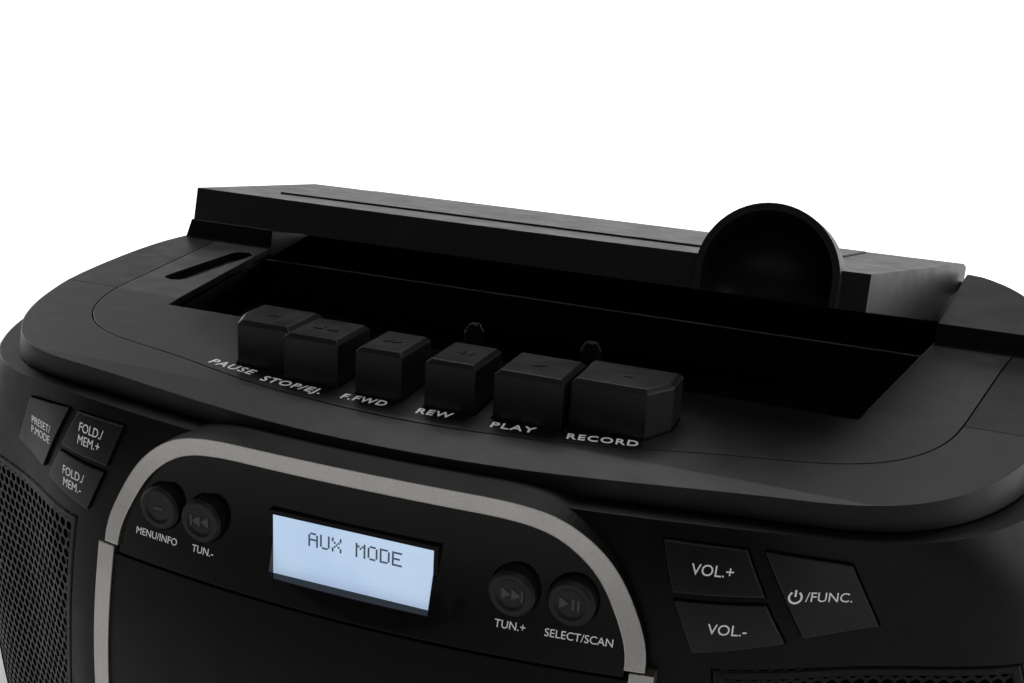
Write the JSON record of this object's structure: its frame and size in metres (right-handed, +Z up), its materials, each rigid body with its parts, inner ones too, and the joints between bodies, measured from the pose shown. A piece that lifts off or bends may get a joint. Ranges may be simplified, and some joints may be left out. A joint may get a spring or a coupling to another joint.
{
  "type": "portable stereo cassette player",
  "caption": "Portable stereo with a hinged cassette lid on top, piano keys, a bowed front disc door, a display in a silver arch, side speaker grilles and a folding handle.",
  "frame": {"origin": "centre of the footprint of the bounding box, on the surface the feet stand on", "axes": "+Z up, front faces -Y, +X to the right seen from the front"},
  "size_m": [0.3742, 0.2623, 0.2457],
  "materials": {
    "case_plastic": "fine textured satin black",
    "gloss_black": "polished black",
    "silver_trim": "champagne silver paint",
    "display": "pale lit display",
    "grille_metal": "satin black perforated",
    "key_plastic": "satin black",
    "steel": "bright",
    "chrome_metal": "bright",
    "rubber_black": "matte",
    "board": "matte green",
    "inner_plastic": "matte",
    "brass_metal": "bright"
  },
  "bodies": {
    "cabinet": {"front_cabinet": "case_plastic", "top_cabinet": "case_plastic", "rear_cabinet": "case_plastic", "deck_plate": "case_plastic", "cassette_well": "inner_plastic", "arch_trim": "silver_trim", "display_lens": "gloss_black", "display_module": "display", "grille_left": "grille_metal", "grille_right": "grille_metal", "speaker_frames": "steel", "speaker_cones": "inner_plastic", "battery_bay": "inner_plastic", "battery_contacts": "steel", "ac_inlet": "inner_plastic", "rear_screws": "steel", "feet": "rubber_black", "socket_panel": "inner_plastic", "usb_and_aux_sockets": "chrome_metal", "tape_chassis": "steel", "tape_motor": "steel", "drive_belt": "rubber_black", "cd_chassis": "inner_plastic", "circuit_boards": "board", "transformer": "steel", "handle_pivots": "case_plastic", "antenna_fork": "inner_plastic"},
    "lid": {"cassette_lid": "case_plastic"},
    "disc_door": {"cd_door": "gloss_black", "door_trims": "silver_trim"},
    "supply_reel": {"reel_spindle_supply": "inner_plastic"},
    "takeup_reel": {"reel_spindle_takeup": "inner_plastic"},
    "capstan": {"capstan_flywheel": "steel"},
    "motor_shaft": {"motor_pulley": "brass_metal"},
    "pinch_lever": {"pinch_arm": "steel"},
    "pinch_wheel": {"pinch_roller": "rubber_black"},
    "head_slide": {"head_carriage": "steel", "tape_heads": "chrome_metal"},
    "disc_hub": {"cd_hub": "inner_plastic"},
    "pickup": {"laser_sled": "inner_plastic"},
    "carry_handle": {"handle": "case_plastic"},
    "antenna_outer": {"antenna_tube": "chrome_metal"},
    "antenna_inner": {"antenna_rod": "chrome_metal"},
    "battery_cover": {"battery_door": "case_plastic"},
    "pause_key": {"pause_key": "key_plastic"},
    "stop_key": {"stop_key": "key_plastic"},
    "fast_forward_key": {"fast_forward_key": "key_plastic"},
    "rewind_key": {"rewind_key": "key_plastic"},
    "play_key": {"play_key": "key_plastic"},
    "record_key": {"record_key": "key_plastic"},
    "volume_up_key": {"volume_up_key": "key_plastic"},
    "volume_down_key": {"volume_down_key": "key_plastic"},
    "function_key": {"function_key": "key_plastic"},
    "folder_up_key": {"folder_up_key": "key_plastic"},
    "folder_down_key": {"folder_down_key": "key_plastic"},
    "preset_key": {"preset_key": "key_plastic"},
    "menu_button": {"menu_button": "gloss_black"},
    "tune_down_button": {"tune_down_button": "gloss_black"},
    "tune_up_button": {"tune_up_button": "gloss_black"},
    "select_button": {"select_button": "gloss_black"}
  },
  "joints": [
    {"name": "lid_hinge", "type": "hinge", "parent": "cabinet", "child": "lid", "pos_m": [0, 0.0968, 0.201], "axis": [-1, 0, 0], "range_deg": [-14, 24]},
    {"name": "disc_door_hinge", "type": "hinge", "parent": "cabinet", "child": "disc_door", "pos_m": [0, -0.1126, 0.0106], "axis": [1, 0, 0], "range_deg": [0, 35]},
    {"name": "supply_spin", "type": "hinge", "parent": "cabinet", "child": "supply_reel", "pos_m": [-0.02125, 0.0108, 0.173], "axis": [0, 0, 1], "continuous": true},
    {"name": "takeup_spin", "type": "hinge", "parent": "cabinet", "child": "takeup_reel", "pos_m": [0.02125, 0.0108, 0.173], "axis": [0, 0, 1], "continuous": true},
    {"name": "capstan_spin", "type": "hinge", "parent": "cabinet", "child": "capstan", "pos_m": [0.04, -0.0172, 0.16], "axis": [0, 0, 1], "continuous": true},
    {"name": "motor_spin", "type": "hinge", "parent": "cabinet", "child": "motor_shaft", "pos_m": [-0.04, 0.0248, 0.157], "axis": [0, 0, 1], "continuous": true},
    {"name": "pinch_swing", "type": "hinge", "parent": "cabinet", "child": "pinch_lever", "pos_m": [0.0542, -0.0144, 0.174], "axis": [0, 0, -1], "range_deg": [0, 17.5]},
    {"name": "pinch_spin", "type": "hinge", "parent": "pinch_lever", "child": "pinch_wheel", "pos_m": [0.0467, -0.025, 0.178], "axis": [0, 0, 1], "continuous": true},
    {"name": "head_advance", "type": "slide", "parent": "cabinet", "child": "head_slide", "axis": [0, 1, 0], "range_m": [0, 0.006]},
    {"name": "disc_spin", "type": "hinge", "parent": "cabinet", "child": "disc_hub", "pos_m": [0, -0.1092, 0.08], "axis": [0, 1, 0], "continuous": true},
    {"name": "pickup_travel", "type": "slide", "parent": "cabinet", "child": "pickup", "axis": [1, 0, 0], "range_m": [0, 0.022]},
    {"name": "handle_swing", "type": "hinge", "parent": "cabinet", "child": "carry_handle", "pos_m": [0, 0.0828, 0.15], "axis": [-1, 0, 0], "range_deg": [-152, 0]},
    {"name": "antenna_swivel", "type": "hinge", "parent": "cabinet", "child": "antenna_outer", "pos_m": [0.122, 0.1158, 0.176], "axis": [0, 1, 0], "range_deg": [0, 100]},
    {"name": "antenna_extend", "type": "slide", "parent": "antenna_outer", "child": "antenna_inner", "axis": [-1, 0, 0], "range_m": [0, 0.15]},
    {"name": "battery_door_hinge", "type": "hinge", "parent": "cabinet", "child": "battery_cover", "pos_m": [0, 0.1096, 0.0212], "axis": [-1, 0, 0], "range_deg": [0, 80]},
    {"name": "pause_key_press", "type": "slide", "parent": "cabinet", "child": "pause_key", "axis": [0, 0, -1], "range_m": [0, 0.005], "stiffness_N_per_m": 200, "springref_m": -0.002},
    {"name": "stop_key_press", "type": "slide", "parent": "cabinet", "child": "stop_key", "axis": [0, 0, -1], "range_m": [0, 0.005], "stiffness_N_per_m": 200, "springref_m": -0.002},
    {"name": "fast_forward_key_press", "type": "slide", "parent": "cabinet", "child": "fast_forward_key", "axis": [0, 0, -1], "range_m": [0, 0.005], "stiffness_N_per_m": 200, "springref_m": -0.002},
    {"name": "rewind_key_press", "type": "slide", "parent": "cabinet", "child": "rewind_key", "axis": [0, 0, -1], "range_m": [0, 0.005], "stiffness_N_per_m": 200, "springref_m": -0.002},
    {"name": "play_key_press", "type": "slide", "parent": "cabinet", "child": "play_key", "axis": [0, 0, -1], "range_m": [0, 0.005], "stiffness_N_per_m": 200, "springref_m": -0.002},
    {"name": "record_key_press", "type": "slide", "parent": "cabinet", "child": "record_key", "axis": [0, 0, -1], "range_m": [0, 0.005], "stiffness_N_per_m": 200, "springref_m": -0.002},
    {"name": "volume_up_key_press", "type": "slide", "parent": "cabinet", "child": "volume_up_key", "axis": [0, 1, 0], "range_m": [0, 0.0008], "stiffness_N_per_m": 500, "springref_m": -0.001},
    {"name": "volume_down_key_press", "type": "slide", "parent": "cabinet", "child": "volume_down_key", "axis": [0, 1, 0], "range_m": [0, 0.0008], "stiffness_N_per_m": 500, "springref_m": -0.001},
    {"name": "function_key_press", "type": "slide", "parent": "cabinet", "child": "function_key", "axis": [0, 1, 0], "range_m": [0, 0.0008], "stiffness_N_per_m": 500, "springref_m": -0.001},
    {"name": "folder_up_key_press", "type": "slide", "parent": "cabinet", "child": "folder_up_key", "axis": [0, 1, 0], "range_m": [0, 0.0008], "stiffness_N_per_m": 500, "springref_m": -0.001},
    {"name": "folder_down_key_press", "type": "slide", "parent": "cabinet", "child": "folder_down_key", "axis": [0, 1, 0], "range_m": [0, 0.0008], "stiffness_N_per_m": 500, "springref_m": -0.001},
    {"name": "preset_key_press", "type": "slide", "parent": "cabinet", "child": "preset_key", "axis": [0, 1, 0], "range_m": [0, 0.0008], "stiffness_N_per_m": 500, "springref_m": -0.001},
    {"name": "menu_button_press", "type": "slide", "parent": "cabinet", "child": "menu_button", "axis": [0, 1, 0], "range_m": [0, 0.0008], "stiffness_N_per_m": 500, "springref_m": -0.001},
    {"name": "tune_down_button_press", "type": "slide", "parent": "cabinet", "child": "tune_down_button", "axis": [0, 1, 0], "range_m": [0, 0.0008], "stiffness_N_per_m": 500, "springref_m": -0.001},
    {"name": "tune_up_button_press", "type": "slide", "parent": "cabinet", "child": "tune_up_button", "axis": [0, 1, 0], "range_m": [0, 0.0008], "stiffness_N_per_m": 500, "springref_m": -0.001},
    {"name": "select_button_press", "type": "slide", "parent": "cabinet", "child": "select_button", "axis": [0, 1, 0], "range_m": [0, 0.0008], "stiffness_N_per_m": 500, "springref_m": -0.001}
  ],
  "couplings": [
    {"joint": "motor_spin", "follows": "capstan_spin", "ratio": 4}
  ]
}
